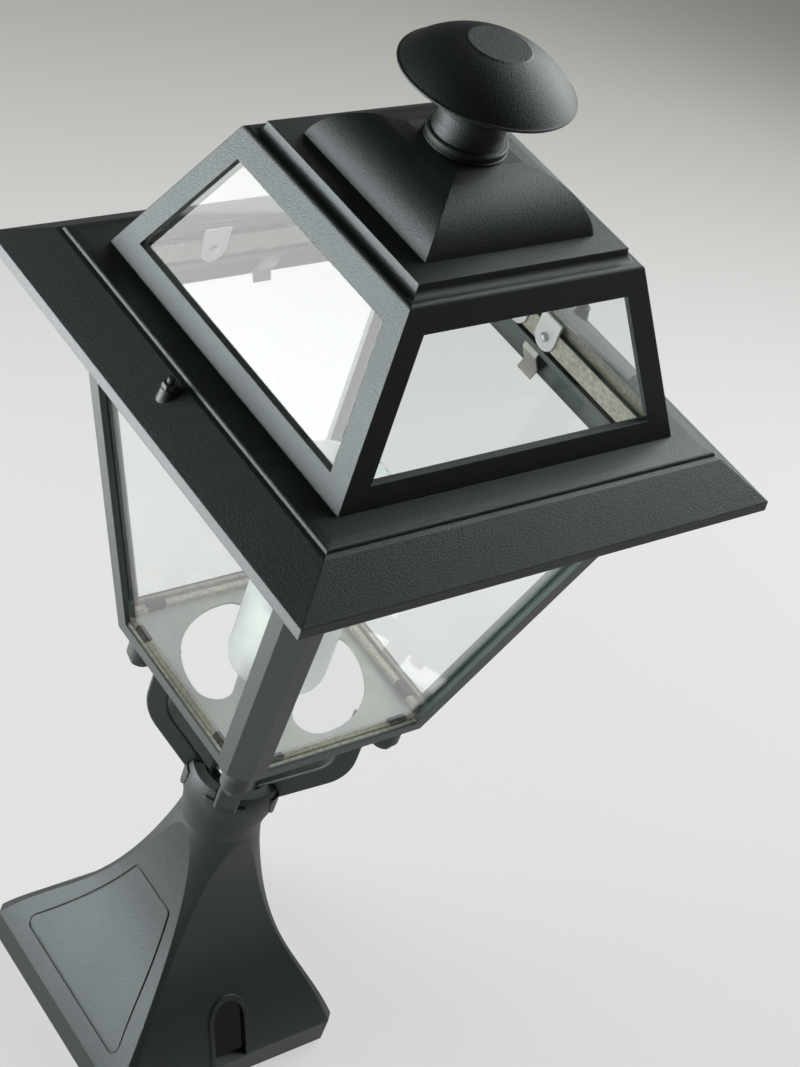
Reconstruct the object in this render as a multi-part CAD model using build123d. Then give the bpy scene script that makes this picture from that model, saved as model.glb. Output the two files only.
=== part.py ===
from build123d import *
import math
import os

os.makedirs("parts", exist_ok=True)

# A square post top lantern: a flared foot, a four-armed cradle, a tapering glazed body,
# a wide roof with four panes of its own, a cushion cap and a mushroom finial.
# Millimetres. The origin is the centre of the foot's underside, +Z is up, and the four
# sides face -Y (front), +X (right), +Y (back) and -X (left).

# ---------------------------------------------------------------- driving dimensions
# foot and pedestal
foot_half = 82.5            # half the foot's side
foot_corner_reach = 113.0   # centre to the rounded corner of the foot
lip_height = 19.0           # upright edge of the foot
pedestal_wall = 5.0
neck_radius = 25.3
neck_height = 172.0         # where the flare has died into the round neck
cup_swell = 3.0             # the cup's widest turn beyond the neck
cup_floor_rise = 18.0       # from the neck's top to the floor of the cup
cup_depth = 23.0
petal_relief = 1.0
petal_radius = 19.0
petal_drop = 5.0            # centre of a petal's arc below the cup's rim
foot_boss_radius = 12.0
foot_boss_height = 24.0
foot_bolt_spacing = 128.0
foot_bolt_drill = 3.4
foot_bolt_depth = 18.0
panel_inset = 12.5
panel_rise = 12.0           # from the lip to the panel's lower edge
panel_height = 81.0
panel_corner = 5.0
panel_groove = 1.4
panel_depth = 0.9
notch_half = 11.5
notch_height = 36.0         # from the lip to the top of the arch
notch_rim = 3.0
notch_rim_relief = 0.8

# cradle
stem_radius = 6.5           # hollow threaded stem that clamps the cradle to the neck
stem_bore = 4.6
stem_tail = 16.0            # length of the stem below the web in the neck
neck_web_depth = 30.0       # metal that the stem passes through, below the cup
stem_nut_flats = 22.0
stem_nut_height = 5.0
stem_washer_radius = 15.0
stem_washer_gauge = 2.0
arm_width = 13.0
arm_depth = 13.0
arm_root = 15.0             # where the lower edge of an arm leaves the cup's floor
arm_rise = 94.0             # from the cup's floor to the top of the pads
arm_elbow_radius = 36.0
arm_edge_round = 1.5
pad_inset = 16.9            # from the body's chamfered corner to the corner screw
pad_overhang = 10.0         # from an arm's outer face to the corner screw
pad_radius = 9.0
pad_thickness = 8.0
pad_ramp = 2.0
hub_height = 16.0
hub_round = 5.0
fit_gap = 0.3               # cast piece dropped into a cast seat

# corner screws, M8 hexagon head
screw_radius = 4.0
screw_head_flats = 13.0
screw_head_height = 5.3
screw_length = 20.0

# glazed body
body_boss_height = 12.6     # screw bosses under the body, which stand on the pads
body_height = 219.8
body_bottom_half = 69.4
corner_chamfer = 9.5        # leg of the flat on each corner post
post_corner_wall = 4.9      # metal behind the flat of a corner post
post_flange = 10.0
casting_wall = 3.5
bottom_rail = 9.0
top_rail = 16.0
web_thickness = 3.0
web_rim = 9.4               # from the body's face to the round opening
floor_thickness = 2.0
floor_rim = 2.0             # the floor plate's opening inside the frame's
bridge_width = 33.0
bridge_corner = 12.0
glass_thickness = 3.0
glass_gap = 0.5             # slack round the edges of a pane
glass_back_gap = 1.2        # between the panes and the floor plate
glass_rest_height = 3.0
glass_rest_half = 6.0
glass_rest_inset = 26.4     # from the body's bottom corner to the middle of a rest
clip_width = 12.0
clip_gauge = 0.8
clip_drop = 18.5
small_screw_radius = 1.5
small_head_radius = 2.7
small_head_height = 1.7

# seat of the roof on the body
brim_overhang = 31.0        # the brim's edge beyond the glazed body
seat_setback = 10.0         # the seat's edge behind the brim's
seat_width = 36.0
seat_thickness = 3.5
gasket_width = 8.0
gasket_thickness = 2.0
gasket_setin = 3.0          # from the body's outer face to the gasket
stud_setback = 16.0
stud_radius = 2.0
stud_stand = 3.5            # bare stud above the nut
stud_collar_radius = 4.0
stud_collar_height = 2.5
nut_flats = 7.0
nut_height = 3.2
running_gap = 0.05

# roof
brim_half = 150.0
lip_clearance = 0.2
lip_depth = 5.8
slope_width = 22.8
slope_rise = 15.4
bead_step = 4.8
platform_step = 3.4
platform_rise = 3.0
rim_wall = 3.5
rim_setin = 6.5             # from the body's outer face to the rim on the gasket
frame_setback = 12.0        # the pyramid's foot behind the platform's edge
frame_rise = 87.8
frame_setin = 33.5          # how far the pyramid draws in on its way up
frame_flange = 14.0
frame_bottom_rail = 11.2
frame_top_rail = 11.8
frame_wall = 4.0
ledge_setin = 8.1           # the top plate's edge behind the pyramid's
ledge_rise = 8.1
top_plate_thickness = 4.0
apron_setback = 10.0        # the platform's opening behind the pyramid's foot
apron_depth = 12.0          # apron inside the platform, which the roof panes' tabs screw to
apron_wall = 4.0
tab_width = 16.0
tab_gauge = 1.2
tab_stand = 6.6             # how far the tabs stand above the platform
tab_spread = 48.0           # tabs on the left and right sides, from the middle
tab_spread_ends = 12.5      # tabs on the front and back
boss_base_radius = 5.3
boss_top_radius = 3.9
boss_drop = 0.9             # the boss's top below the brim's first bead
boss_height = 8.0

# cap and finial
cap_setin = 12.9            # the cap's foot behind the top plate's edge
cap_height = 25.0
cap_wall = 3.0
cap_bulge_in = 7.7          # the cushion's curve passes here
cap_bulge_up = 14.3
cap_shoulder_out = 8.6      # the curve ends this far outside the finial's collar
cap_shoulder_drop = 1.4
collar_radius = 20.7
collar_height = 3.6
bead_ring_height = 1.6
finial_neck = 17.4
finial_neck_height = 12.0
finial_height = 36.1        # from the cap to the disc's edge
disc_radius = 44.5
disc_rim = 1.5
dome_rise = 17.8
dome_flat = 17.0
rod_radius = 4.0
rod_tail = 9.0
rod_reach = 14.0            # how far the rod goes up into the finial
rod_washer_radius = 9.0
rod_washer_gauge = 1.6
rod_nut_flats = 13.0
rod_nut_height = 6.0

# lampholder and diffuser
diffuser_radius = 28.0
diffuser_wall = 2.0
diffuser_height = 146.4
diffuser_corner = 9.0
holder_radius = 20.0
holder_height = 46.0
holder_foot = 8.0
holder_foot_radius = 13.0
holder_shoulder = 6.0
lamp_thread_radius = 13.3
shell_wall = 0.5
shell_length = 24.0
shell_recess = 2.0
contact_radius = 4.0
contact_flange = 3.5
contact_height = 3.0
well_depth = 4.0            # room under the threaded shell
nipple_radius = 5.0
nipple_bore = 3.6
nipple_tail = 9.0
nipple_reach = 12.0
nipple_nut_flats = 17.0
nipple_nut_height = 3.5

# ---------------------------------------------------------------- what follows from them
cup_radius = neck_radius + cup_swell
cup_floor = neck_height + cup_floor_rise
cup_rim = cup_floor + cup_depth
neck_web = cup_floor - neck_web_depth
hub_seat = cup_radius - pedestal_wall - 3.0
hub_rim = cup_floor + hub_height

chamfer_cut = corner_chamfer / math.sqrt(2)
pad_top = cup_floor + arm_rise
pad_bottom = pad_top - pad_thickness
pad_centre = body_bottom_half * math.sqrt(2) - chamfer_cut - pad_inset
arm_reach = pad_centre - pad_overhang

body_bottom = pad_top + body_boss_height
body_top = body_bottom + body_height
body_top_half = brim_half - brim_overhang
body_lean = (body_top_half - body_bottom_half) / body_height
web_top = body_bottom + web_thickness
web_opening = body_bottom_half - web_rim
floor_top = web_top + floor_thickness
floor_opening_radius = web_opening - floor_rim

seat_bottom = body_top
seat_top = seat_bottom + seat_thickness
seat_outer = brim_half - seat_setback
seat_inner = seat_outer - seat_width
gasket_outer = body_top_half - gasket_setin
gasket_top = seat_top + gasket_thickness
clip_screw_place = seat_inner + 4.0
stud_place = brim_half - stud_setback

lip_bottom = seat_bottom + lip_clearance
lip_top = lip_bottom + lip_depth
slope_half = brim_half - slope_width
slope_top = lip_top + slope_rise
bead_half = slope_half - bead_step
platform_half = bead_half - platform_step
platform_top = slope_top + platform_rise
frame_half = platform_half - frame_setback
frame_top_half = frame_half - frame_setin
frame_top = platform_top + frame_rise
top_plate_half = frame_top_half - ledge_setin
top_plate_top = frame_top + ledge_rise
top_plate_bottom = top_plate_top - top_plate_thickness
apron_half = frame_half - apron_setback
tab_screw_height = platform_top - apron_depth / 2
boss_top = slope_top - boss_drop
cap_half = top_plate_half - cap_setin
cap_top = top_plate_top + cap_height
disc_edge = cap_top + finial_height

holder_bottom = floor_top + diffuser_wall
holder_top = holder_bottom + holder_height
shell_top = holder_top - shell_recess
well_floor = shell_top - shell_length - well_depth

far = 3 * brim_half         # longer than anything that it cuts


# ---------------------------------------------------------------- shared shapes
def mirrored_face(runs):
    """A face in the upright plane, from the runs of its right side, bottom to top."""
    left = [run.mirror(Plane.YZ) for run in runs]
    low, high = runs[0] @ 0, runs[-1] @ 1
    foot = Line((-low.X, low.Y), (low.X, low.Y))
    head = Line((-high.X, high.Y), (high.X, high.Y))
    return make_face(Curve() + list(runs) + left + [foot, head])


def square_turned(*runs):
    """The solid whose level cuts are squares, each half as wide as the runs say."""
    slab = extrude(Plane.XZ * mirrored_face(runs), amount=far, both=True)
    return slab & (Rot(0, 0, 90) * slab)


def turned(*runs):
    """The solid of revolution whose outline, bottom to top, is the runs."""
    low, high = runs[0] @ 0, runs[-1] @ 1
    foot = Line((0, low.Y), (low.X, low.Y))
    head = Line((high.X, high.Y), (0, high.Y))
    axle = Line((0, high.Y), (0, low.Y))
    face = make_face(Curve() + [foot] + list(runs) + [head, axle])
    return revolve(Plane.XZ * face, axis=Axis.Z)


def rod(radius, bottom, top, x=0.0, y=0.0):
    return Pos(x, y, (bottom + top) / 2) * Cylinder(radius, top - bottom)


def block(half_x, half_y, bottom, top, x=0.0, y=0.0):
    return Pos(x, y, (bottom + top) / 2) * Box(2 * half_x, 2 * half_y, top - bottom)


def hexagon(flats, bottom, top, y=0.0):
    """A hexagon bar with the corners of its top face turned off."""
    bar = extrude(Pos(0, y, bottom) * RegularPolygon(flats / 2, 6, major_radius=False), top - bottom)
    corner = flats / math.sqrt(3)
    turned_end = turned(Polyline((corner, bottom), (corner, top - 0.1 * flats), (0.95 * flats / 2, top)))
    return bar & (Pos(0, y, 0) * turned_end)


def small_screw(length):
    """A pan-headed screw that points down, with the underside of its head at zero."""
    head = turned(Line((small_head_radius, 0), (small_head_radius, small_head_height / 2)),
                  Line((small_head_radius, small_head_height / 2), (small_head_radius / 2, small_head_height)))
    return head + rod(small_screw_radius, -length, 0)


def around(shape, count=4, start=0.0):
    """Copies of a shape turned about the lantern's axis."""
    return [Rot(0, 0, start + 360.0 / count * k) * shape for k in range(count)]


def body_half(height):
    """Half the width of the glazed body's outer face at a height."""
    return body_bottom_half + (height - body_bottom) * body_lean


def roof_half(height):
    """Half the width of the roof frame's outer face at a height."""
    return frame_half - (height - platform_top) * frame_setin / frame_rise


def leaning_wall(half_at, outer, inner, bottom, top):
    """The tapering square shell between two insets from a leaning outer face."""
    shells = [square_turned(Line((half_at(bottom) - inset, bottom), (half_at(top) - inset, top)))
              for inset in (outer, inner)]
    return shells[0] - shells[1]


def side_window(half_at, margin, bottom, top):
    """A bar through the front and back whose outline is a leaning opening."""
    outline = Polyline((-half_at(bottom) + margin, bottom), (half_at(bottom) - margin, bottom),
                       (half_at(top) - margin, top), (-half_at(top) + margin, top), close=True)
    return extrude(Plane.XZ * make_face(outline), amount=far, both=True)


def save(name, *solids):
    shape = solids[0] if len(solids) == 1 else Compound(children=[Compound(s.wrapped) for s in solids])
    export_step(shape, f"parts/{name}.step")


# ---------------------------------------------------------------- foot and pedestal
def flare_run(foot, top, shares, inset):
    """The concave sweep from the foot's lip to the neck, as a share of its width at four heights."""
    rises = (0.167, 0.386, 0.624, 0.830)
    middle = [(neck_radius + (foot - neck_radius) * share - inset, lip_height + (neck_height - lip_height) * rise)
              for share, rise in zip(shares, rises)]
    return Spline((foot - inset, lip_height), *middle, (top - inset, neck_height))


def flare(inset, bottom):
    """The pedestal's square solid and its round hips, or its hollow when inset by the wall."""
    neck_half = neck_radius + 0.6
    faces = (Line((foot_half - inset, bottom), (foot_half - inset, lip_height)),
             flare_run(foot_half, neck_half, (0.740, 0.365, 0.122, 0.023), inset),
             Polyline((neck_half - inset, neck_height), (cup_radius + 4, neck_height),
                      (cup_radius + 4, cup_rim)))
    hips = (Line((foot_corner_reach - inset, bottom), (foot_corner_reach - inset, lip_height)),
            flare_run(foot_corner_reach, neck_radius, (0.777, 0.437, 0.194, 0.065), inset))
    return square_turned(*faces), hips


def cup_outline(proud):
    """The neck's swelling into the cup, from the top of the flare to the rim."""
    return Spline((neck_radius + proud, neck_height), (neck_radius + cup_swell / 2 + proud, cup_floor - 4),
                  (cup_radius + proud, cup_floor + 0.4 * cup_depth), (cup_radius - 2.3 + proud, cup_rim))


def make_pedestal():
    square_part, hips = flare(0, 0)
    outer = square_part & turned(*hips, cup_outline(0))

    hollow_square, hollow_hips = flare(pedestal_wall, -1)
    hollow = hollow_square & turned(*hollow_hips)
    hollow = hollow & block(far, far, -1, neck_web)

    # petals: the cup's skin stands a little proud, down to an arc under each face
    skin = turned(cup_outline(petal_relief)) - rod(neck_radius - 3, neck_height - 1, cup_rim + 1)
    petal_height = cup_rim - petal_drop
    arcs = [Pos(0, 0, petal_height) * Rot(turn) * Cylinder(petal_radius, far)
            for turn in ((90, 0, 0), (0, 90, 0))]
    upper = block(far, far, petal_height, cup_rim + 1)
    petals = skin & (arcs[0] + arcs[1] + upper)
    pedestal = outer + petals - hollow

    # bore for the stem, the cup's own hollow, and the four slots that the arms lie in
    pedestal -= rod(stem_radius + fit_gap, neck_web - 1, cup_floor + 1)
    pedestal -= rod(hub_seat, cup_floor, cup_rim + 1)
    slot = block(far / 2, arm_width / 2 + fit_gap, cup_floor, cup_rim + 1, x=far / 2)
    for cut in around(slot, start=45):
        pedestal -= cut

    # screw bosses for bolts that come up from below, buttressed to the foot's corners
    place = foot_bolt_spacing / 2
    boss = rod(foot_boss_radius, 0, foot_boss_height, place, place)
    buttress = block(7, 7, 0, foot_boss_height - 4, place + 8, place + 8)
    drill = rod(foot_bolt_drill, -1, foot_bolt_depth, place, place)
    for corner in around((boss + buttress) & outer - drill):
        pedestal += corner

    # cable notch over the lip on the right side, with a raised rim
    notch = make_notch_outline()
    through = extrude(Plane.YZ * notch, amount=far)
    rim_bar = extrude(Plane.YZ * offset(notch, notch_rim), amount=far)
    proud_square, proud_hips = flare(-notch_rim_relief, 0)
    proud = (proud_square & turned(*proud_hips)) - hollow
    rim = proud & rim_bar & block(far, far, lip_height, lip_height + notch_height + 2 * notch_rim)
    pedestal = pedestal + rim - through

    # shallow panel line on the front face
    line = panel_outline(0) - panel_outline(panel_groove)
    shallow_square, shallow_hips = flare(panel_depth, 0)
    skin_depth = outer - (shallow_square & turned(*shallow_hips))
    return pedestal - (extrude(Plane.XZ * line, amount=far) & skin_depth)


def make_notch_outline():
    """An arched opening that stands on the lip."""
    sill = lip_height + 1
    spring = lip_height + notch_height - notch_half
    arch = ThreePointArc((-notch_half, spring), (0, spring + notch_half), (notch_half, spring))
    sides = Polyline((notch_half, spring), (notch_half, sill), (-notch_half, sill), (-notch_half, spring))
    return make_face(Curve() + [arch, sides])


def panel_outline(inset):
    """The panel on the front face: it keeps its distance from the flare's hips."""
    edge = panel_inset + inset
    bottom = lip_height + panel_rise
    low = (foot_half - 10.0 - edge, bottom + inset)
    waist = (neck_radius + 20.9 - edge, bottom + 0.58 * panel_height)
    high = (neck_radius + 7.7 - edge, bottom + panel_height - inset)
    return fillet(mirrored_face([Spline(low, waist, high)]).vertices(), panel_corner - inset)


# ---------------------------------------------------------------- cradle
def make_arm():
    """One arm, lying along +X: up at 45 degrees, an elbow, then the screw pad."""
    inner_reach = arm_reach - arm_depth
    outer_corner = (arm_reach, cup_floor + arm_reach - arm_root)
    inner_root = cup_floor + arm_depth * math.sqrt(2)
    inner_corner = (inner_reach, inner_root + inner_reach - arm_root)
    outline = make_face(Polyline(
        (arm_root, cup_floor), outer_corner, (arm_reach, pad_bottom - pad_ramp),
        (arm_reach + pad_ramp, pad_bottom), (pad_centre, pad_bottom), (pad_centre, pad_top),
        (inner_reach, pad_top), inner_corner, (arm_root, inner_root), close=True))
    outline = fillet(outline.vertices().sort_by_distance(outer_corner)[0], arm_elbow_radius)
    outline = fillet(outline.vertices().sort_by_distance(inner_corner)[0], arm_elbow_radius - arm_depth)
    strap = extrude(Plane.XZ * outline, amount=arm_width / 2, both=True)
    side_edges = strap.edges().group_by(Axis.Y)[0] + strap.edges().group_by(Axis.Y)[-1]
    long_edges = [edge for edge in side_edges
                  if edge.center().Z < pad_bottom - pad_ramp and edge.center().X > arm_root + 1]
    strap = fillet(long_edges, arm_edge_round)
    pad = rod(pad_radius, pad_bottom, pad_top, x=pad_centre)
    return strap + pad - rod(screw_radius + fit_gap, pad_bottom - 1, pad_top + 1, x=pad_centre)


def make_cradle():
    hub = rod(hub_seat - fit_gap, cup_floor, hub_rim)
    hub = fillet(hub.edges().group_by(Axis.Z)[-1], hub_round)
    for arm in around(make_arm(), start=45):
        hub += arm
    return hub - rod(stem_radius + fit_gap, cup_floor - 1, hub_rim + 1)


def make_stem():
    top = hub_rim + stem_nut_height + 1.0
    bottom = neck_web - stem_tail
    return rod(stem_radius, bottom, top) - rod(stem_bore, bottom - 1, top + 1)


def make_stem_nut(bottom):
    top = bottom + stem_nut_height
    return hexagon(stem_nut_flats, bottom, top) - rod(stem_radius + running_gap, bottom - 1, top + 1)


def make_stem_washer():
    bottom = neck_web - stem_washer_gauge
    return rod(stem_washer_radius, bottom, neck_web) - rod(stem_radius + fit_gap, bottom - 1, neck_web + 1)


def make_corner_screw():
    head = Rot(180, 0, 0) * hexagon(screw_head_flats, -pad_bottom, screw_head_height - pad_bottom)
    return Pos(pad_centre, 0, 0) * (head + rod(screw_radius, pad_bottom, pad_bottom + screw_length))


# ---------------------------------------------------------------- glazed body
def make_body_shell():
    """The four posts and both rails in one tapering shell, with its windows cut."""
    shell = leaning_wall(body_half, 0, casting_wall, body_bottom, body_top)
    across = [(body_half(z) * math.sqrt(2) - chamfer_cut, z) for z in (body_bottom, body_top)]
    behind = [(reach - post_corner_wall, z) for reach, z in across]
    chamfered = Rot(0, 0, 45) * square_turned(Line(*across))
    hollow = Rot(0, 0, 45) * square_turned(Line(*behind))
    core = square_turned(Line((body_bottom_half - 0.1, body_bottom), (body_top_half - 0.1, body_top)))
    shell = (shell + (core - hollow)) & chamfered
    window = side_window(body_half, corner_chamfer + post_flange,
                         body_bottom + bottom_rail, body_top - top_rail)
    return shell - window - Rot(0, 0, 90) * window


def make_bottom_frame(shell):
    rail = shell & block(far, far, body_bottom, body_bottom + bottom_rail)
    web = square_turned(Line((body_bottom_half - 1, body_bottom), (body_half(web_top) - 1, web_top)))
    corners = body_bottom_half * math.sqrt(2) - chamfer_cut - 1
    web = web & (Rot(0, 0, 45) * block(corners, corners, body_bottom, web_top))
    frame = rail + web - rod(web_opening, body_bottom - 1, web_top + 1)
    boss = rod(pad_radius, pad_top, body_bottom + 1, x=pad_centre)
    drill = rod(screw_radius + running_gap, pad_top - 1, web_top + 6, x=pad_centre)
    for corner in around(boss, start=45):
        frame += corner
    for corner in around(drill, start=45):
        frame -= corner
    return frame


def make_posts(shell):
    band = block(far, far, body_bottom + bottom_rail, body_top - top_rail)
    return (shell & band).solids()


def make_top_frame(shell):
    rail = shell & block(far, far, body_top - top_rail, body_top)
    seat = block(seat_outer, seat_outer, seat_bottom, seat_top)
    seat = fillet(seat.edges().filter_by(Axis.Z), 6.0)
    seat -= block(seat_inner, seat_inner, seat_bottom - 1, seat_top + 1)
    frame = rail + seat
    for side in (-1, 1):
        frame -= rod(stud_radius + running_gap, seat_bottom - 1, seat_top + 1, y=side * stud_place)
    screw_hole = rod(small_screw_radius + running_gap, seat_bottom - 1, seat_top + 1, y=-clip_screw_place)
    for hole in around(screw_hole):
        frame -= hole
    return frame


def make_floor_plate():
    opening = Circle(floor_opening_radius) - Rot(0, 0, -45) * Rectangle(far, bridge_width)
    opening = fillet(opening.vertices(), bridge_corner)
    half = body_half(web_top) - casting_wall - glass_thickness - glass_back_gap
    corner = half * math.sqrt(2) - chamfer_cut
    outline = Rectangle(2 * half, 2 * half) & (Rot(0, 0, 45) * Rectangle(2 * corner, 2 * corner))
    plate = extrude(Pos(0, 0, web_top) * (outline - opening), floor_thickness)
    plate -= rod(nipple_radius + fit_gap, web_top - 1, floor_top + 1)
    for hole in around(rod(screw_radius + 3.5, web_top - 1, floor_top + 1, x=pad_centre), start=45):
        plate -= hole
    return plate


def make_pane(half_at, wall, side_margin, bottom, top):
    """The front pane of a leaning set, lying against the inside of its wall."""
    sheet = leaning_wall(half_at, wall, wall + glass_thickness, bottom, top)
    outline = side_window(half_at, side_margin, bottom - 1, top + 1)
    return sheet & outline & block(far, far / 2, bottom, top, y=-far / 2)


def make_body_pane():
    margin = math.sqrt(2) * (chamfer_cut + post_corner_wall) - casting_wall + glass_gap
    return make_pane(body_half, casting_wall, margin, web_top + glass_rest_height, body_top - 6)


def make_glass_rest(side):
    middle = body_half(web_top) - casting_wall - glass_thickness / 2 - glass_gap / 2
    return block(glass_rest_half, glass_thickness / 2, web_top, web_top + glass_rest_height,
                 x=side * (body_bottom_half - glass_rest_inset), y=-middle)


def make_pane_clip():
    """A spring strip screwed under the seat, pressing the top of the front pane outwards."""
    flat = seat_bottom - clip_gauge / 2
    press = body_top - 0.7 * clip_drop
    touch = body_half(press) - casting_wall - glass_thickness - clip_gauge / 2 - running_gap
    path = Polyline((-clip_screw_place - 3.5, flat), (-seat_inner - 0.6, flat), (-seat_inner, flat - 3),
                    (-touch, press), (-seat_inner - 2, body_top - clip_drop))
    strip = extrude(Plane.YZ * trace(path, clip_gauge), amount=clip_width / 2, both=True)
    return strip - rod(small_screw_radius + running_gap, seat_bottom - 2, seat_bottom + 1, y=-clip_screw_place)


def make_clip_screw():
    screw = Rot(180, 0, 0) * small_screw(clip_gauge + seat_thickness)
    return Pos(0, -clip_screw_place, seat_bottom - clip_gauge) * screw


# ---------------------------------------------------------------- roof seat and fixings
def make_gasket():
    inner = gasket_outer - gasket_width
    ring = block(gasket_outer, gasket_outer, seat_top, gasket_top)
    return ring - block(inner, inner, seat_top - 1, gasket_top + 1)


def make_stud(side):
    y = side * stud_place
    top = boss_top + nut_height + stud_stand
    shank = turned(Polyline((stud_radius, seat_bottom), (stud_radius, top - 1.0),
                            (stud_radius * 0.7, top - 0.3), (stud_radius * 0.3, top)))
    collar = rod(stud_collar_radius, seat_top, seat_top + stud_collar_height, y=y)
    return Pos(0, y, 0) * shank + collar


def make_roof_nut(side):
    y = side * stud_place
    nut = hexagon(nut_flats, boss_top, boss_top + nut_height, y=y)
    return nut - rod(stud_radius + running_gap, boss_top - 1, boss_top + nut_height + 1, y=y)


# ---------------------------------------------------------------- roof
def make_brim():
    outer = square_turned(
        Polyline((brim_half + 0.4, lip_bottom), (brim_half, lip_top), (slope_half, slope_top),
                 (bead_half + 2.2, slope_top + 0.7)),
        ThreePointArc((bead_half + 2.2, slope_top + 0.7), (bead_half + 1.7, slope_top + 2.0),
                      (bead_half, platform_top - 0.3)),
        Polyline((bead_half, platform_top - 0.3), (platform_half, platform_top)))
    ceiling = platform_top - casting_wall
    hollow = square_turned(Polyline((brim_half - casting_wall, lip_bottom - 1),
                                    (brim_half - casting_wall, lip_top - 2.0),
                                    (slope_half - 4.5, ceiling)))
    rim_half = body_top_half - rim_setin
    rim = block(rim_half, rim_half, gasket_top, ceiling + 1)
    well = block(rim_half - rim_wall, rim_half - rim_wall, gasket_top - 1, ceiling)
    apron = apron_half + apron_wall
    brim = outer - hollow + rim - well + block(apron, apron, platform_top - apron_depth, platform_top)
    brim -= block(apron_half, apron_half, gasket_top - 1, platform_top + 1)
    screw_hole = Pos(0, -apron_half, tab_screw_height) * Rot(90, 0, 0) * \
        Cylinder(small_screw_radius + running_gap, 4 * apron_wall)
    for hole in place_tabs(screw_hole):
        brim -= hole
    for side in (-1, 1):
        y = side * stud_place
        boss = turned(Line((boss_base_radius, boss_top - boss_height), (boss_top_radius, boss_top)))
        brim = brim + (Pos(0, y, 0) * boss - hollow)
        brim -= rod(stud_radius + fit_gap, lip_bottom, boss_top + 1, y=y)
    return brim


def make_roof_frame():
    ledge_out = top_plate_half + 0.5
    ledge_foot = frame_top_half - 2.9
    outer = square_turned(
        Line((frame_half, platform_top), (frame_top_half, frame_top)),
        ThreePointArc((frame_top_half, frame_top), (frame_top_half - 1.1, frame_top + 1.4),
                      (ledge_foot, frame_top + 1.9)),
        ThreePointArc((ledge_foot, frame_top + 1.9), (top_plate_half + 1.7, frame_top + 2.9),
                      (ledge_out, frame_top + 0.57 * ledge_rise)),
        Line((ledge_out, frame_top + 0.57 * ledge_rise), (top_plate_half, top_plate_top)))
    neck = frame_top - 2
    hollow = square_turned(Polyline((frame_half - frame_wall, platform_top - 1),
                                    (frame_half - frame_wall, platform_top),
                                    (roof_half(neck) - frame_wall, neck),
                                    (top_plate_half - frame_wall, top_plate_bottom)))
    window = side_window(roof_half, frame_flange, platform_top + frame_bottom_rail, frame_top - frame_top_rail)
    frame = outer - hollow - window - Rot(0, 0, 90) * window
    return frame - rod(rod_radius + fit_gap, top_plate_bottom - 1, top_plate_top + 1)


def make_roof_pane():
    margin = frame_wall + glass_thickness + glass_gap
    return make_pane(roof_half, frame_wall, margin, platform_top + glass_gap, frame_top - 4)


def place_tabs(shape):
    """Two copies of a front-side shape on each side of the roof."""
    spreads = (tab_spread_ends, tab_spread)
    return [Rot(0, 0, 90 * quarter) * Pos(side * spreads[quarter % 2], 0, 0) * shape
            for quarter in range(4) for side in (-1, 1)]


def make_tab():
    """A round-ended tab on the apron, which keeps the foot of the front pane in."""
    low = tab_screw_height
    top = platform_top + tab_stand
    outline = Pos(0, (low + top) / 2) * Rectangle(tab_width, top - low) + Pos(0, low) * Circle(tab_width / 2)
    outline -= Pos(0, low) * Circle(small_screw_radius + running_gap)
    return extrude(Plane.XZ.offset(apron_half - tab_gauge) * outline, tab_gauge)


def make_tab_screw():
    screw = Rot(-90, 0, 0) * small_screw(apron_wall + tab_gauge)
    return Pos(0, tab_gauge - apron_half, tab_screw_height) * screw


def cap_curve(inset):
    """The cushion's curve, or its underside when inset by the wall."""
    waist = (cap_half - cap_bulge_in - inset * 0.8, top_plate_top + cap_bulge_up - inset * 0.6)
    shoulder = (collar_radius + cap_shoulder_out - inset, cap_top - cap_shoulder_drop - inset)
    return ThreePointArc((cap_half - inset, top_plate_top - inset / 3), waist, shoulder)


def make_cap():
    curve = cap_curve(0)
    outer = square_turned(curve, Line(curve @ 1, (collar_radius, cap_top)))
    return outer - square_turned(cap_curve(cap_wall)) - rod(rod_radius + fit_gap, top_plate_top, cap_top + 1)


def make_finial():
    collar_bottom = cap_top + bead_ring_height
    collar_top = collar_bottom + collar_height
    neck_top = collar_top + finial_neck_height
    under = disc_edge - disc_rim
    disc_top = disc_edge + dome_rise
    ring = collar_radius + 0.4
    brink = disc_radius - 1.0
    knob = turned(
        Polyline((ring, cap_top), (ring, collar_bottom - 0.4), (collar_radius - 0.5, collar_bottom),
                 (collar_radius, collar_bottom + 0.5), (collar_radius, collar_top - 0.8),
                 (collar_radius - 0.8, collar_top), (finial_neck + 1.2, collar_top),
                 (finial_neck - 0.3, collar_top + 4), (finial_neck + 0.2, neck_top)),
        ThreePointArc((finial_neck + 0.2, neck_top), (finial_neck + 6.5, under - 5.5), (brink, under)),
        ThreePointArc((brink, under), (disc_radius, disc_edge - disc_rim / 2), (brink, disc_edge)),
        ThreePointArc((brink, disc_edge), (0.66 * brink + 0.27 * dome_flat, disc_edge + 0.52 * dome_rise),
                      (dome_flat, disc_top - 0.6)),
        Line((dome_flat, disc_top - 0.6), (dome_flat - 1.4, disc_top)))
    return knob - rod(rod_radius + running_gap, cap_top - 1, cap_top + rod_reach + 1)


def make_finial_rod():
    return rod(rod_radius, top_plate_bottom - rod_tail, cap_top + rod_reach)


def make_rod_washer():
    bottom = top_plate_bottom - rod_washer_gauge
    return rod(rod_washer_radius, bottom, top_plate_bottom) - \
        rod(rod_radius + fit_gap, bottom - 1, top_plate_bottom + 1)


def make_rod_nut():
    top = top_plate_bottom - rod_washer_gauge
    bottom = top - rod_nut_height
    return hexagon(rod_nut_flats, bottom, top) - rod(rod_radius + running_gap, bottom - 1, top + 1)


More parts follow.
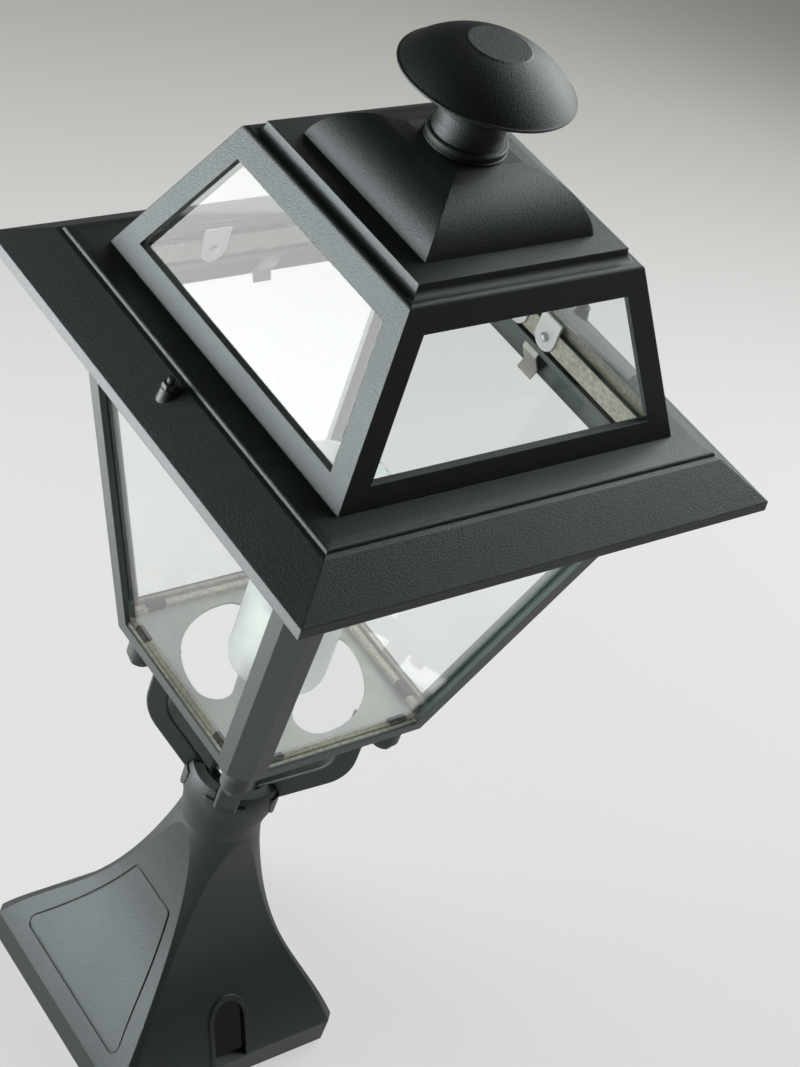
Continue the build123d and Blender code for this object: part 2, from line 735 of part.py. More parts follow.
# ---------------------------------------------------------------- lampholder and diffuser
def make_diffuser():
    """A frosted glass beaker, open at the top, standing on the bridge."""
    top = floor_top + diffuser_height
    outer = rod(diffuser_radius, floor_top, top)
    outer = fillet(outer.edges().group_by(Axis.Z)[0], diffuser_corner)
    inner = rod(diffuser_radius - diffuser_wall, floor_top + diffuser_wall, top + 1)
    inner = fillet(inner.edges().group_by(Axis.Z)[0], diffuser_corner - diffuser_wall)
    return outer - inner - rod(nipple_radius + fit_gap, floor_top - 1, holder_bottom + 1)


def make_holder():
    """The ceramic body: a narrow foot, a shoulder and the round skirt."""
    shoulder = holder_bottom + holder_foot + holder_shoulder
    body = turned(Polyline((holder_foot_radius, holder_bottom), (holder_foot_radius, holder_bottom + holder_foot),
                           (holder_radius, shoulder), (holder_radius, holder_top - 1.0),
                           (holder_radius - 1.0, holder_top)))
    body -= rod(lamp_thread_radius + shell_wall + running_gap, well_floor, holder_top + 1)
    return body - rod(nipple_radius + running_gap, holder_bottom - 1, well_floor + 1)


def make_threaded_shell():
    bottom = shell_top - shell_length
    return rod(lamp_thread_radius + shell_wall, bottom, shell_top) - \
        rod(lamp_thread_radius, bottom - 1, shell_top + 1)


def make_contact():
    flange = rod(contact_radius + contact_flange, well_floor, well_floor + 1.0)
    return flange + rod(contact_radius, well_floor, well_floor + contact_height)


def make_nipple():
    bottom = web_top - nipple_tail
    top = holder_bottom + nipple_reach
    return rod(nipple_radius, bottom, top) - rod(nipple_bore, bottom - 1, top + 1)


def make_nipple_nut():
    nut = Rot(180, 0, 0) * hexagon(nipple_nut_flats, -web_top, nipple_nut_height - web_top)
    return nut - rod(nipple_radius + running_gap, web_top - nipple_tail, web_top + 1)


# ---------------------------------------------------------------- build and write
def main():
    save("pedestal", make_pedestal())
    save("cradle", make_cradle())
    save("cradle_stem", make_stem())
    save("stem_top_nut", make_stem_nut(hub_rim))
    save("stem_bottom_nut", make_stem_nut(neck_web - stem_washer_gauge - stem_nut_height))
    save("stem_washer", make_stem_washer())
    save("corner_screws", *around(make_corner_screw(), start=45))

    shell = make_body_shell()
    save("body_bottom_frame", make_bottom_frame(shell))
    save("body_top_frame", make_top_frame(shell))
    for post in make_posts(shell):
        centre = post.center()
        name = ("front" if centre.Y < 0 else "back") + "_" + ("right" if centre.X > 0 else "left")
        save(f"corner_post_{name}", post)
    save("floor_plate", make_floor_plate())

    sides = ("front", "right", "back", "left")
    for name, pane in zip(sides, around(make_body_pane())):
        save(f"body_glass_{name}", pane)
    for name, pane in zip(sides, around(make_roof_pane())):
        save(f"roof_glass_{name}", pane)
    save("pane_clips", *around(make_pane_clip()))
    save("pane_clip_screws", *around(make_clip_screw()))
    save("roof_pane_tabs", *place_tabs(make_tab()))
    save("roof_tab_screws", *place_tabs(make_tab_screw()))
    save("glass_pads", *[pad for side in (-1, 1) for pad in around(make_glass_rest(side))])

    save("roof_gasket", make_gasket())
    save("roof_studs", make_stud(-1), make_stud(1))
    save("roof_nut_front", make_roof_nut(-1))
    save("roof_nut_back", make_roof_nut(1))
    save("roof_brim", make_brim())
    save("roof_frame", make_roof_frame())
    save("roof_cap", make_cap())
    save("finial", make_finial())
    save("finial_rod", make_finial_rod())
    save("finial_washer", make_rod_washer())
    save("finial_nut", make_rod_nut())

    save("diffuser", make_diffuser())
    save("lampholder", make_holder())
    save("lampholder_shell", make_threaded_shell())
    save("lampholder_contact", make_contact())
    save("lampholder_nipple", make_nipple())
    save("nipple_nut", make_nipple_nut())


main()
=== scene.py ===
import math

import bmesh
import bpy
from mathutils import Matrix, Vector


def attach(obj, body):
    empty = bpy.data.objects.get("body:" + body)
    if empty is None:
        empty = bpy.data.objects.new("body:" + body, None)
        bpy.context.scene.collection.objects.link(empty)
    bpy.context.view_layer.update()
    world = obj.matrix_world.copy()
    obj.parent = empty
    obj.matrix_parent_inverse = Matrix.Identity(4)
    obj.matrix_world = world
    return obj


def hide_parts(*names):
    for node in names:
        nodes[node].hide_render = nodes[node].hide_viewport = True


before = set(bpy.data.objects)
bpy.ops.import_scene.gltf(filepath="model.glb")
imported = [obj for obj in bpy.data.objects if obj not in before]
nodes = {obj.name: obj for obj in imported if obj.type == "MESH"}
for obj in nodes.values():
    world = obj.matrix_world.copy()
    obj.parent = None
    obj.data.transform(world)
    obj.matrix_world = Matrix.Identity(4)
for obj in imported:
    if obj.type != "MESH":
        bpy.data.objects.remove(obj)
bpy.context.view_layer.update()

# ---------------------------------------------------------------- camera
# The lantern is seen from above and from its front right corner, with a long lens
# and a tilted picture.
LENS_MM = 76.3
CAMERA_PLACE = (0.65696, -0.69608, 1.18955)
CAMERA_TURN = (49.2997, -16.5569, 54.8740)
PICTURE_SHIFT = 0.0042

camera_data = bpy.data.cameras.new("camera")
camera_data.lens = LENS_MM
camera_data.shift_x = PICTURE_SHIFT
camera = bpy.data.objects.new("camera", camera_data)
camera.location = CAMERA_PLACE
camera.rotation_euler = [math.radians(turn) for turn in CAMERA_TURN]
bpy.context.scene.collection.objects.link(camera)
bpy.context.scene.camera = camera
bpy.context.scene.view_settings.view_transform = "Standard"


# ---------------------------------------------------------------- floor and light
# A pale floor with painted shade that grows darker away from the lantern, to the left, the back and the
# right, and a painted shadow under the foot.
# A large soft light stands low at the front left with one at floor level beside it, and
# another hangs high at the back, in a dim surround.
class Wire:
    """A number or colour on its way through a finish; arithmetic on it adds Math nodes."""

    def __init__(self, finish, socket):
        self.finish = finish
        self.socket = socket

    def math(self, operation, *values):
        return self.finish.make("ShaderNodeMath", {"operation": operation}, dict(enumerate(values)))

    def __add__(self, other):
        return self.math("ADD", self, other)

    def __sub__(self, other):
        return self.math("SUBTRACT", self, other)

    def __rsub__(self, other):
        return self.math("SUBTRACT", other, self)

    def __mul__(self, other):
        return self.math("MULTIPLY", self, other)

    def __abs__(self):
        return self.math("ABSOLUTE", self)

    __radd__ = __add__
    __rmul__ = __mul__

    def over(self, other):
        """The larger of the two."""
        return self.math("MAXIMUM", self, other)

    def under(self, other):
        """The smaller of the two."""
        return self.math("MINIMUM", self, other)

    def sine(self):
        return self.math("SINE", self)

    def step(self, low, high):
        """0 below low, 1 above high and smooth in between."""
        return self.finish.make("ShaderNodeMapRange", {"interpolation_type": "SMOOTHSTEP"},
                                {"Value": self, "From Min": low, "From Max": high})


class Finish:
    """The nodes of one material or of the surround."""

    def __init__(self, owner):
        owner.use_nodes = True
        self.tree = owner.node_tree
        self.tree.nodes.clear()

    def make(self, kind, settings=None, sockets=None, output=0):
        made = self.tree.nodes.new(kind)
        for name, value in (settings or {}).items():
            setattr(made, name, value)
        for name, value in (sockets or {}).items():
            if isinstance(value, Wire):
                self.tree.links.new(value.socket, made.inputs[name])
            elif made.inputs[name].type == "RGBA":
                made.inputs[name].default_value = (*value, 1.0)
            else:
                made.inputs[name].default_value = value
        return Wire(self, made.outputs[output]) if made.outputs else None

    def place(self, output="Object"):
        """Where a point lies on the lantern, in metres, or the way its surface faces."""
        return self.make("ShaderNodeTexCoord", output=output)

    def parts(self, vector):
        made = self.make("ShaderNodeSeparateXYZ", sockets={0: vector}).socket.node
        return [Wire(self, socket) for socket in made.outputs]

    def blend(self, share, first, second):
        """A colour that goes from the first to the second as share goes from 0 to 1."""
        return self.make("ShaderNodeMix", {"data_type": "RGBA"}, {0: share, 6: first, 7: second}, output=2)

    def noise(self, where, scale, detail=2.0, rough=0.5):
        return self.make("ShaderNodeTexNoise", sockets={"Vector": where, "Scale": scale, "Detail": detail,
                                                        "Roughness": rough})

    def raised(self, height, depth, edge=None):
        """A normal for a surface whose relief is height times depth metres, with rounded edges."""
        sockets = {"Height": height, "Distance": depth}
        if edge:
            sockets["Normal"] = self.make("ShaderNodeBevel", {"samples": 4}, {"Radius": edge})
        return self.make("ShaderNodeBump", sockets=sockets)

    def seen(self):
        """1 for what shows directly, in a reflection or through glass."""
        path = self.make("ShaderNodeLightPath").socket.node
        rays = [Wire(self, path.outputs[f"Is {kind} Ray"]) for kind in ("Camera", "Glossy", "Transmission")]
        return rays[0].over(rays[1]).over(rays[2])


FLOOR_HALF = 6.0
FLOOR_PALE = (0.81, 0.815, 0.80)
FLOOR_FAR_SHADE = (0.40, 0.40, 0.36)
FLOOR_OUTER_SHADE = (0.30, 0.30, 0.275)
FLOOR_GLOW = 0.62
FAR_TURN = 0.3
FAR_FROM = 0.45
FAR_TO = 1.75
CORNER_FROM = 1.95
CORNER_TO = 2.75
RIGHT_FROM = 0.35
RIGHT_TO = 1.2
FOOT_HALF = 0.081
FOOT_EDGE = 0.003
PAINTED_FOOT_SHADOW = (0.02, 0.02, 0.02)

bpy.ops.object.select_all(action="DESELECT")
bpy.ops.mesh.primitive_plane_add(size=2 * FLOOR_HALF, location=(0, 0, 0))
floor = bpy.context.object
floor.name = "floor"
floor_paint = bpy.data.materials.new("floor_paint")
floor.data.materials.append(floor_paint)
paint = Finish(floor_paint)
across, back, _ = paint.parts(paint.place())
# Painted shade: the floor's tone falls from pale to the far and outer tones away from the lantern, standing
# for the light falling off.
far = (back * FAR_TURN - across).step(FAR_FROM, FAR_TO)
dim = (back - across).step(CORNER_FROM, CORNER_TO).over(across.step(RIGHT_FROM, RIGHT_TO))
# A painted shadow: the floor is painted near black under the foot.
outside_foot_shadow = abs(across).over(abs(back)).step(FOOT_HALF - FOOT_EDGE, FOOT_HALF)
tone = paint.blend(dim, paint.blend(far, FLOOR_PALE, FLOOR_FAR_SHADE), FLOOR_OUTER_SHADE)
tone = paint.blend(outside_foot_shadow, PAINTED_FOOT_SHADOW, tone)
lit = paint.make("ShaderNodeBsdfDiffuse", sockets={"Color": tone})
glow = paint.make("ShaderNodeEmission", sockets={"Color": tone, "Strength": 1.0})
mixed = paint.make("ShaderNodeMixShader", sockets={0: paint.seen() * FLOOR_GLOW, 1: lit, 2: glow})
paint.make("ShaderNodeOutputMaterial", sockets={"Surface": mixed})


def soft_light(name, place, aim, width, height, radiance):
    """A rectangular softbox at a place, turned to face a point."""
    data = bpy.data.lights.new(name, "AREA")
    data.shape = "RECTANGLE"
    data.size = width
    data.size_y = height
    data.energy = radiance * math.pi * width * height
    light = bpy.data.objects.new(name, data)
    light.location = place
    light.rotation_euler = (Vector(aim) - Vector(place)).to_track_quat("-Z", "Y").to_euler()
    light.visible_camera = False
    light.visible_transmission = False
    bpy.context.scene.collection.objects.link(light)


soft_light("front_softbox", (-0.66, -1.02, 0.40), (0, 0, 0.40), 1.0, 0.85, 9.2)
soft_light("floor_bounce", (-0.62, -0.72, 0.01), (-0.62, -0.72, 1.0), 0.8, 0.8, 5.2)
soft_light("back_softbox", (-0.14, 1.20, 1.15), (0, 0, 0.60), 1.2, 1.2, 4.4)

SURROUND = 0.045
surround = bpy.data.worlds.new("surround")
bpy.context.scene.world = surround
paint = Finish(surround)
light = paint.make("ShaderNodeBackground", sockets={"Color": (0.98, 1.0, 1.0), "Strength": SURROUND})
paint.make("ShaderNodeOutputWorld", sockets={"Surface": light})


# ---------------------------------------------------------------- pedestal and cradle
# Cast aluminium in a fine-grained black powder coat. The flared foot carries a round cup,
# and the four-armed cradle is clamped down into it by a nut on a hollow threaded stem.
def coat_node(name, material):
    """Gives a piece from the frame its finish."""
    for place in nodes[name].material_slots:
        place.material = material


COAT_TINT = (0.86, 0.97, 0.98)


def powder_coat(name, colour=(0.0036, 0.0050, 0.0050), roughness=0.40, gloss=0.85, inside=None):
    """Black powder coat with a fine grain; inside gives how far a point is on a beige inner face."""
    material = bpy.data.materials.new(name)
    paint = Finish(material)
    where = paint.place()
    grain = paint.noise(where, 1500.0, 2.0, 0.65)
    drift = paint.noise(where, 30.0, 3.0)
    black = paint.blend(grain.step(0.35, 0.75), colour, tuple(1.35 * part for part in colour))
    beige_share = inside(paint, where) if inside else 0.0
    if inside:
        dust = paint.noise(where, 420.0, 3.0, 0.7).step(0.32, 0.68)
        beige = paint.blend(dust, (0.205, 0.185, 0.145), (0.36, 0.335, 0.275))
        black = paint.blend(beige_share, black, beige)
    rough = grain * 0.08 + drift * 0.06 + roughness + beige_share * 0.25
    normal = paint.raised(grain + paint.noise(where, 800.0, 1.0) * 0.3, 0.00022, edge=0.0009)
    body = paint.make("ShaderNodeBsdfPrincipled", sockets={
        "Base Color": black, "Roughness": rough, "Specular IOR Level": gloss, "Specular Tint": COAT_TINT,
        "Normal": normal})
    paint.make("ShaderNodeOutputMaterial", sockets={"Surface": body})
    return material


for name in ("pedestal", "cradle"):
    coat_node(name, powder_coat(name + "_coat", roughness=0.43))


def plain_metal(name, colour, roughness, scale=900.0, thread=None, depth=0.00004):
    """Bare or plated steel with a fine tooth; thread gives the pitch of ridges up its length."""
    material = bpy.data.materials.new(name)
    paint = Finish(material)
    where = paint.place()
    tooth = paint.noise(where, scale, 3.0, 0.6)
    tint = paint.blend(tooth, tuple(0.8 * part for part in colour), colour)
    height = tooth
    if thread:
        _, _, up = paint.parts(where)
        height = (up * (2 * math.pi / thread)).sine() * 4.0 + tooth
    body = paint.make("ShaderNodeBsdfPrincipled", sockets={
        "Base Color": tint, "Metallic": 1.0, "Roughness": tooth * 0.18 + roughness,
        "Normal": paint.raised(height, depth)})
    paint.make("ShaderNodeOutputMaterial", sockets={"Surface": body})
    return material


zinc = plain_metal("bright_zinc", (0.62, 0.63, 0.66), 0.30)
zinc_thread = plain_metal("zinc_thread", (0.62, 0.63, 0.66), 0.32, thread=0.0015, depth=0.00006)
for name in ("stem_top_nut", "stem_bottom_nut", "stem_washer"):
    coat_node(name, zinc)
coat_node("cradle_stem", zinc_thread)
coat_node("corner_screws", powder_coat("screw_black", (0.018, 0.018, 0.019), 0.38))


# ---------------------------------------------------------------- lobes of the cup
# Cast tongues of the cup that close each slot below its arm: a curved patch of the cup's
# wall with a rounded lower edge, in the pedestal's own coat.
LOBE_RADIUS = 0.0300
LOBE_WALL = 0.0034
LOBE_TOP = 0.2080
LOBE_HEIGHT = 0.024
LOBE_ROUND = 0.0136
LOBE_ROUND_DROP = 0.0046
LOBE_EDGE = 0.0009


def copy_round(shape, body, turns, count=4):
    """Turned copies of a finished shape about the lantern's axis, joined to it as one piece."""
    copies = [shape]
    for number in range(1, count):
        copy = shape.copy()
        copy.data = shape.data.copy()
        bpy.context.scene.collection.objects.link(copy)
        copy.data.transform(Matrix.Rotation(math.radians(turns * number), 4, "Z"))
        copies.append(copy)
    bpy.ops.object.select_all(action="DESELECT")
    for copy in copies:
        copy.select_set(True)
    bpy.context.view_layer.objects.active = shape
    bpy.ops.object.join()
    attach(shape, body)


def apply_all(shape):
    """Applies a shape's place and its modifiers."""
    bpy.ops.object.select_all(action="DESELECT")
    shape.select_set(True)
    bpy.context.view_layer.objects.active = shape
    bpy.ops.object.transform_apply(location=True, rotation=True, scale=True)
    for modifier in list(shape.modifiers):
        bpy.ops.object.modifier_apply(modifier=modifier.name)


def combine(shape, tool, operation):
    """Cuts a shape by another, or to it, and takes the other away."""
    modifier = shape.modifiers.new("cut", "BOOLEAN")
    modifier.operation = operation
    modifier.object = tool
    modifier.solver = "EXACT"
    apply_all(shape)
    bpy.data.objects.remove(tool)


bpy.ops.object.select_all(action="DESELECT")
bpy.ops.mesh.primitive_cylinder_add(vertices=128, radius=LOBE_RADIUS, depth=LOBE_HEIGHT,
                                    location=(0, 0, LOBE_TOP - LOBE_HEIGHT / 2))
lobe = bpy.context.object
lobe.name = "cup_lobes"
bpy.ops.mesh.primitive_cylinder_add(vertices=128, radius=LOBE_RADIUS - LOBE_WALL, depth=0.04,
                                    location=(0, 0, LOBE_TOP - LOBE_HEIGHT / 2))
combine(lobe, bpy.context.object, "DIFFERENCE")
bpy.ops.mesh.primitive_cylinder_add(vertices=64, radius=LOBE_ROUND, depth=0.03,
                                    location=(LOBE_RADIUS * math.sqrt(0.5), -LOBE_RADIUS * math.sqrt(0.5),
                                              LOBE_TOP - LOBE_ROUND_DROP),
                                    rotation=(math.pi / 2, 0, math.pi / 4))
combine(lobe, bpy.context.object, "INTERSECT")
edge = lobe.modifiers.new("edge", "BEVEL")
edge.width = LOBE_EDGE
edge.segments = 2
edge.limit_method = "ANGLE"
apply_all(lobe)
bpy.ops.object.shade_smooth_by_angle(angle=math.radians(35))
lobe.data.materials.append(nodes["pedestal"].material_slots[0].material)
copy_round(lobe, "base", 90)


# ---------------------------------------------------------------- glazed body
# The tapering frame is cast in the same black: a lower frame with a web, four corner
# posts and an upper frame with the roof's seat. The reveals round the glass are beige.
BODY_FOOT_HEIGHT = 0.2966
BODY_FOOT_HALF = 0.0694
BODY_SLOPE = 0.2257
CHAMFER = 0.0067
REVEAL = 0.0016
BEIGE_FROM = 0.2972
BEIGE_TO = 0.3070
BEIGE_EDGE = 0.0004


def inside_body(paint, where):
    across, back, up = paint.parts(where)
    half = (up - BODY_FOOT_HEIGHT) * BODY_SLOPE + BODY_FOOT_HALF
    flat = half - abs(across).over(abs(back))
    corner = half * math.sqrt(2) - CHAMFER - (abs(across) + abs(back)) * math.sqrt(0.5)
    beige_share = up.step(BODY_FOOT_HEIGHT, BEIGE_FROM) * (1 - up.step(BEIGE_TO - BEIGE_EDGE, BEIGE_TO + BEIGE_EDGE))
    return flat.under(corner).step(REVEAL - BEIGE_EDGE, REVEAL + BEIGE_EDGE) * beige_share


# Painted light: the body's black is a lighter copy of the coat's black, painted lighter for the light its
# posts and frames catch.
lit_body_coat = powder_coat("lit_body_coat", (0.019, 0.0225, 0.0205), 0.45, inside=inside_body)
for name in ("body_bottom_frame", "body_top_frame", "corner_post_front_left", "corner_post_front_right",
             "corner_post_back_left", "corner_post_back_right"):
    coat_node(name, lit_body_coat)

plate_paint = bpy.data.materials.new("pale_plate")
paint = Finish(plate_paint)
where = paint.place()
cloud = paint.noise(where, 60.0, 4.0, 0.6)
tooth = paint.noise(where, 900.0, 2.0)
plate_tone = paint.blend(cloud.step(0.3, 0.7), (0.255, 0.268, 0.248), (0.31, 0.323, 0.30))
body = paint.make("ShaderNodeBsdfPrincipled", sockets={
    "Base Color": plate_tone, "Roughness": tooth * 0.1 + 0.42, "Normal": paint.raised(tooth, 0.00003)})
paint.make("ShaderNodeOutputMaterial", sockets={"Surface": body})
coat_node("floor_plate", plate_paint)

# The plate that shows: a pressed sheet with chamfered corners, and with two large openings
# that leave a diagonal bridge for the lampholder.
PLATE_HALF = 0.06236
PLATE_MIDDLE = 0.3006
PLATE_GAUGE = 0.002
PLATE_CORNER = 0.0095
OPENING_RADIUS = 0.0532
OPENING_CORNER = 0.012
BRIDGE_HALF = 0.0165
NIPPLE_HOLE = 0.0053
PLATE_EDGE = 0.0003
THROUGH = 0.02


def chamfer_uprights(shape, width):
    """Chamfers a shape's upright corners in edit mode."""
    bpy.ops.object.select_all(action="DESELECT")
    shape.select_set(True)
    bpy.context.view_layer.objects.active = shape
    bpy.ops.object.mode_set(mode="EDIT")
    bpy.ops.mesh.select_mode(type="EDGE")
    bpy.ops.mesh.select_all(action="DESELECT")
    drawn = bmesh.from_edit_mesh(shape.data)
    for line in drawn.edges:
        low, high = line.verts
        upright = abs(low.co.z - high.co.z) > 0.9 * line.calc_length()
        line.select_set(upright)
    bmesh.update_edit_mesh(shape.data)
    bpy.ops.mesh.bevel(offset=width, segments=1, affect="EDGES")
    bpy.ops.object.mode_set(mode="OBJECT")


bpy.ops.object.select_all(action="DESELECT")
bpy.ops.mesh.primitive_cube_add(size=1, location=(0, 0, PLATE_MIDDLE),
                                scale=(2 * PLATE_HALF, 2 * PLATE_HALF, PLATE_GAUGE))
plate = bpy.context.object
plate.name = "plain_floor_plate"
apply_all(plate)
chamfer_uprights(plate, PLATE_CORNER)
corner_reach = OPENING_RADIUS - OPENING_CORNER
corner_out = BRIDGE_HALF + OPENING_CORNER
corner_along = math.sqrt(corner_reach ** 2 - corner_out ** 2)
arc_from = OPENING_RADIUS * corner_out / corner_reach
for turn in (45, 225):
    across_bridge = Vector((math.cos(math.radians(turn)), math.sin(math.radians(turn)), 0))
    along_bridge = Vector((-across_bridge.y, across_bridge.x, 0))
    bpy.ops.object.select_all(action="DESELECT")
    bpy.ops.mesh.primitive_cylinder_add(vertices=160, radius=OPENING_RADIUS, depth=THROUGH)
    opening = bpy.context.object
    bpy.ops.object.mode_set(mode="EDIT")
    bpy.ops.mesh.select_mode(type="VERT")
    bpy.ops.mesh.select_all(action="DESELECT")
    drawn = bmesh.from_edit_mesh(opening.data)
    for point in drawn.verts:
        point.select_set(point.co.dot(across_bridge) < arc_from)
    bmesh.update_edit_mesh(opening.data)
    bpy.ops.mesh.delete(type="VERT")
    for end in (-1, 1):
        middle = across_bridge * corner_out + along_bridge * end * corner_along
        bpy.ops.mesh.primitive_cylinder_add(vertices=64, radius=OPENING_CORNER, depth=THROUGH,
                                            location=middle)
    bpy.ops.mesh.select_all(action="SELECT")
    bpy.ops.mesh.convex_hull()
    bpy.ops.object.mode_set(mode="OBJECT")
    opening.location = (0, 0, PLATE_MIDDLE)
    combine(plate, opening, "DIFFERENCE")
bpy.ops.mesh.primitive_cylinder_add(vertices=48, radius=NIPPLE_HOLE, depth=THROUGH,
                                    location=(0, 0, PLATE_MIDDLE))
combine(plate, bpy.context.object, "DIFFERENCE")
edge = plate.modifiers.new("edge", "BEVEL")
edge.width = PLATE_EDGE
edge.limit_method = "ANGLE"
edge.angle_limit = math.radians(50)
apply_all(plate)
bpy.ops.object.shade_smooth_by_angle(angle=math.radians(35))
plate.data.materials.append(plate_paint)
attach(plate, "base")
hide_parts("floor_plate")

# A beige ledge runs along the foot of each pane, inside it, and carries two dark blocks.
LEDGE_BACK = 0.0622
LEDGE_HALF = 0.057
LEDGE_LOW = 0.30165
LEDGE_HIGH = 0.3054
LEDGE_HALF_DEEP = 0.0020
BAR_EDGE = 0.0005

beige_ledge = bpy.data.materials.new("beige_ledge")
paint = Finish(beige_ledge)
dust = paint.noise(paint.place(), 420.0, 3.0, 0.7)
beige = paint.blend(dust.step(0.32, 0.68), (0.235, 0.215, 0.17), (0.40, 0.375, 0.31))
body = paint.make("ShaderNodeBsdfPrincipled", sockets={
    "Base Color": beige, "Roughness": dust * 0.1 + 0.6, "Normal": paint.raised(dust, 0.0003)})
paint.make("ShaderNodeOutputMaterial", sockets={"Surface": body})


def bar(name, half_long, half_deep, low, high, along=0.0):
    """A bar with softened edges, inside the foot of the front pane."""
    bpy.ops.object.select_all(action="DESELECT")
    bpy.ops.mesh.primitive_cube_add(size=1, location=(along, -LEDGE_BACK, (low + high) / 2),
                                    scale=(2 * half_long, 2 * half_deep, high - low))
    made = bpy.context.object
    made.name = name
    softened = made.modifiers.new("edge", "BEVEL")
    softened.width = BAR_EDGE
    softened.segments = 2
    apply_all(made)
    return made


ledge = bar("glass_ledges", LEDGE_HALF, LEDGE_HALF_DEEP, LEDGE_LOW, LEDGE_HIGH)
ledge.data.materials.append(beige_ledge)
copy_round(ledge, "base", 90)


# ---------------------------------------------------------------- panes, pads and clips
# Clear float glass, green at its cut edges. The body's panes stand on dark rubber rests
# and are pressed outwards by spring strips screwed under the roof's seat.
def glass(name, across):
    """Clear glass whose large faces look along x or y; the cut edges are green."""
    material = bpy.data.materials.new(name)
    paint = Finish(material)
    facing = abs(paint.parts(paint.place("Normal"))[across])
    face = facing.step(0.55, 0.75)
    smear = paint.noise(paint.place(), 14.0, 4.0, 0.55)
    tint = paint.blend(face, (0.12, 0.44, 0.39), (0.975, 0.99, 0.985))
    body = paint.make("ShaderNodeBsdfPrincipled", sockets={
        "Base Color": tint, "Roughness": (1 - face) * 0.22 + smear * 0.015, "IOR": 1.45,
        "Transmission Weight": 1.0})
    clear = paint.make("ShaderNodeBsdfTransparent", sockets={"Color": (0.93, 0.96, 0.95)})
    path = paint.make("ShaderNodeLightPath", output="Is Shadow Ray")
    mixed = paint.make("ShaderNodeMixShader", sockets={0: path, 1: body, 2: clear})
    paint.make("ShaderNodeOutputMaterial", sockets={"Surface": mixed})
    return material


side_glass = glass("glass_left_right", 0)
end_glass = glass("glass_front_back", 1)
for part in ("body", "roof"):
    for side in ("left", "right"):
        coat_node(f"{part}_glass_{side}", side_glass)
    for side in ("front", "back"):
        coat_node(f"{part}_glass_{side}", end_glass)

rubber = bpy.data.materials.new("black_rubber")
paint = Finish(rubber)
tooth = paint.noise(paint.place(), 1400.0, 2.0)
rubber_tone = paint.blend(tooth, (0.006, 0.006, 0.006), (0.016, 0.016, 0.0155))
body = paint.make("ShaderNodeBsdfPrincipled", sockets={
    "Base Color": rubber_tone, "Roughness": tooth * 0.1 + 0.7, "Specular IOR Level": 0.3,
    "Normal": paint.raised(tooth, 0.00005)})
paint.make("ShaderNodeOutputMaterial", sockets={"Surface": body})
coat_node("glass_pads", rubber)

# Two blocks of the same rubber stand on the ledge of each pane.
BLOCK_PLACE = 0.043
BLOCK_HALF = 0.006
BLOCK_HALF_DEEP = 0.0021
BLOCK_RISE = 0.0016

for side, place in (("left", -BLOCK_PLACE), ("right", BLOCK_PLACE)):
    block = bar(f"glass_blocks_{side}", BLOCK_HALF, BLOCK_HALF_DEEP, LEDGE_LOW, LEDGE_HIGH + BLOCK_RISE,
                along=place)
    block.data.materials.append(rubber)
    copy_round(block, "base", 90)
coat_node("roof_gasket", rubber)

stainless = plain_metal("stainless", (0.60, 0.59, 0.56), 0.26)
coat_node("pane_clips", plain_metal("dull_spring", (0.36, 0.35, 0.32), 0.42))
coat_node("pane_clip_screws", stainless)
coat_node("roof_tab_screws", stainless)


# ---------------------------------------------------------------- lampholder and diffuser
# A white glazed screw lampholder on a brass nipple, inside a frosted glass beaker that
# stands on the plate's diagonal bridge.
frosted = bpy.data.materials.new("frosted_glass")
paint = Finish(frosted)
where = paint.place()
tooth = paint.noise(where, 1100.0, 2.0)
frost_tone = paint.blend(paint.noise(where, 40.0, 3.0), (0.86, 0.885, 0.875), (0.92, 0.935, 0.93))
body = paint.make("ShaderNodeBsdfPrincipled", sockets={
    "Base Color": frost_tone, "Roughness": tooth * 0.1 + 0.36, "IOR": 1.35, "Transmission Weight": 0.86,
    "Normal": paint.raised(tooth, 0.00002)})
clear = paint.make("ShaderNodeBsdfTransparent", sockets={"Color": (0.8, 0.83, 0.82)})
path = paint.make("ShaderNodeLightPath", output="Is Shadow Ray")
mixed = paint.make("ShaderNodeMixShader", sockets={0: path, 1: body, 2: clear})
paint.make("ShaderNodeOutputMaterial", sockets={"Surface": mixed})
coat_node("diffuser", frosted)

ceramic = bpy.data.materials.new("white_glaze")
paint = Finish(ceramic)
cloud = paint.noise(paint.place(), 90.0, 3.0)
glaze_tone = paint.blend(cloud, (0.72, 0.71, 0.67), (0.80, 0.79, 0.76))
body = paint.make("ShaderNodeBsdfPrincipled", sockets={
    "Base Color": glaze_tone, "Roughness": cloud * 0.06 + 0.14, "Normal": paint.raised(cloud, 0.0002)})
paint.make("ShaderNodeOutputMaterial", sockets={"Surface": body})
coat_node("lampholder", ceramic)

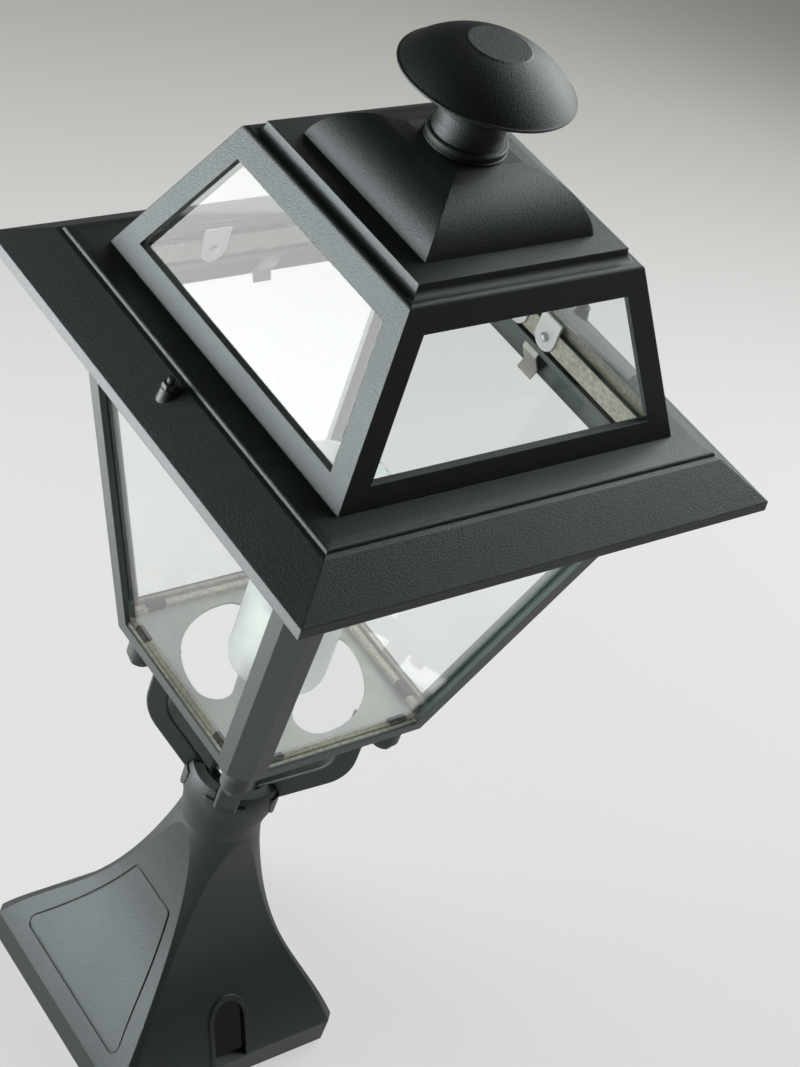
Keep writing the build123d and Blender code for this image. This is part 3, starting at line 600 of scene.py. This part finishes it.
brass = plain_metal("brass", (0.78, 0.58, 0.28), 0.24)
coat_node("lampholder_shell",
          plain_metal("brass_shell", (0.78, 0.58, 0.28), 0.22, thread=0.0036, depth=0.0001))
coat_node("lampholder_contact", brass)
coat_node("lampholder_nipple", plain_metal("brass_thread", (0.78, 0.58, 0.28), 0.28, thread=0.001))
coat_node("nipple_nut", brass)


# ---------------------------------------------------------------- roof
# The brim and the pyramid are castings in the same black with beige inner faces. Clear nylon
# tabs hold the roof's panes, and two nuts on plated studs hold the roof down.
ROOF_FOOT_HEIGHT = 0.5408
ROOF_FOOT_HALF = 0.107
ROOF_SLOPE = 0.3815
ROOF_LEDGE = 0.6250
ROOF_LEDGE_EDGE = 0.001
ROOF_WALL = 0.0041
ROOF_WALL_EDGE = 0.0003
PLATFORM_OPENING = 0.0975


def inside_roof(paint, where):
    across, back, up = paint.parts(where)
    reach = abs(across).over(abs(back))
    half = ROOF_FOOT_HALF - (up - ROOF_FOOT_HEIGHT) * ROOF_SLOPE
    below_ledge = 1 - up.step(ROOF_LEDGE, ROOF_LEDGE + ROOF_LEDGE_EDGE)
    return (half - reach).step(ROOF_WALL - ROOF_WALL_EDGE, ROOF_WALL) * below_ledge


def inside_brim(paint, where):
    across, back, up = paint.parts(where)
    reach = abs(across).over(abs(back))
    return (PLATFORM_OPENING - reach).step(0.0, BEIGE_EDGE)


coat_node("roof_brim", powder_coat("brim_coat", inside=inside_brim))
coat_node("roof_frame", powder_coat("roof_coat", inside=inside_roof))
for name in ("roof_cap", "finial"):
    coat_node(name, powder_coat(name + "_coat"))

nylon = bpy.data.materials.new("clear_nylon")
paint = Finish(nylon)
cloud = paint.noise(paint.place(), 300.0, 2.0)
nylon_tone = paint.blend(cloud, (0.84, 0.86, 0.85), (0.92, 0.93, 0.92))
body = paint.make("ShaderNodeBsdfPrincipled", sockets={
    "Base Color": nylon_tone, "Roughness": cloud * 0.1 + 0.3, "IOR": 1.4, "Transmission Weight": 0.35})
paint.make("ShaderNodeOutputMaterial", sockets={"Surface": body})
coat_node("roof_pane_tabs", nylon)

stud_black = powder_coat("stud_black", (0.016, 0.016, 0.017), 0.40)
for name in ("roof_studs", "roof_nut_front", "roof_nut_back"):
    coat_node(name, stud_black)
coat_node("finial_rod", zinc_thread)
coat_node("finial_washer", zinc)
coat_node("finial_nut", zinc)
